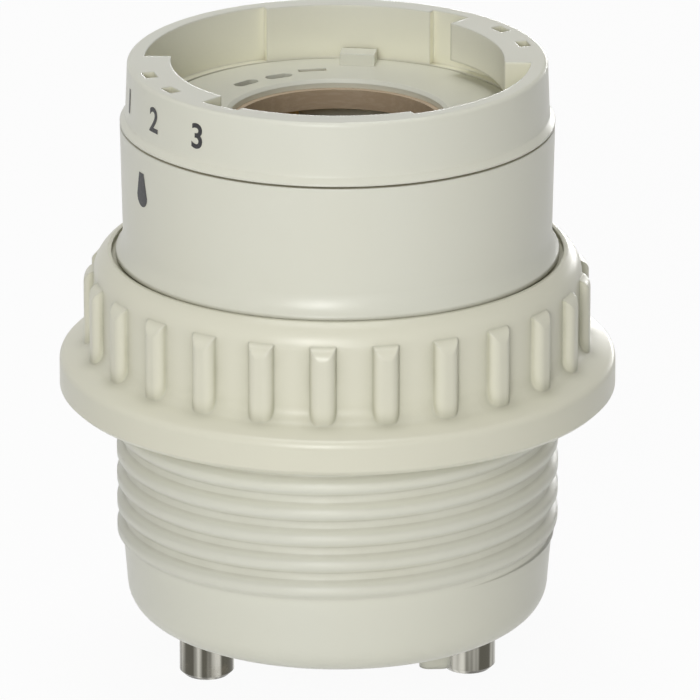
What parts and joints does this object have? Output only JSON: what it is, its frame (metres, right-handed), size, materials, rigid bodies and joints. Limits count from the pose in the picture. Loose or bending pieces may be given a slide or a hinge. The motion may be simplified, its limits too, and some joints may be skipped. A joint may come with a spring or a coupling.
{
  "type": "lamp holder",
  "caption": "Twist-lock lamp holder with a pin base, a threaded body carrying a ribbed shade ring, and a numbered selector collar that turns round a keyed lamp mouth; the ballast sits inside.",
  "frame": {"origin": "on the axis of the holder, at the tips of the base pins", "axes": "+Z along the axis from the pins to the lamp mouth, the pins along X, the side seen in the picture towards -Y"},
  "size_m": [0.0504, 0.0504, 0.0586],
  "materials": {
    "ivory_plastic": "semi-gloss moulded ivory",
    "brown_laminate": "matt brown sheet",
    "plated_pin": "bright plated, turned",
    "spring_steel": "rolled strip",
    "wire_cover": "matt insulation",
    "contact_brass": "pressed strip",
    "board_laminate": "phenolic sheet",
    "capacitor_sleeve": "shrunk sleeve",
    "ferrite": "matt sintered",
    "black_moulding": "matt moulded",
    "copper_winding": "enamelled wire",
    "red_dip": "dipped lacquer",
    "resistor_coat": "lacquer coat"
  },
  "bodies": {
    "holder": {"threaded_base": "ivory_plastic", "barrel": "ivory_plastic", "socket_plate": "ivory_plastic", "terminal_plate": "brown_laminate", "base_pin_left": "plated_pin", "base_pin_right": "plated_pin", "pin_washers": "spring_steel", "pin_lead_left": "wire_cover", "pin_lead_right": "wire_cover", "lamp_contact_1": "contact_brass", "lamp_contact_2": "contact_brass", "lamp_contact_3": "contact_brass", "lamp_contact_4": "contact_brass", "detent_spring": "spring_steel", "ballast_board": "board_laminate", "smoothing_capacitor": "capacitor_sleeve", "choke_core": "ferrite", "choke_bobbin": "black_moulding", "choke_winding": "copper_winding", "film_capacitor_1": "red_dip", "film_capacitor_2": "red_dip", "drive_toroid": "ferrite", "transistor_1": "black_moulding", "transistor_2": "black_moulding", "rectifier_diodes": "black_moulding", "fuse_resistor": "resistor_coat"},
    "collar": {"selector_collar": "ivory_plastic"},
    "ring": {"shade_ring": "ivory_plastic"}
  },
  "joints": [
    {"name": "collar_twist", "type": "hinge", "parent": "holder", "child": "collar", "pos_m": [0, 0, 0.0555], "axis": [0, 0, 1], "range_deg": [-18.4, 18.4]},
    {"name": "ring_turn", "type": "hinge", "parent": "holder", "child": "ring", "pos_m": [0, 0, 0.0347], "axis": [0, 0, 1], "continuous": true}
  ]
}
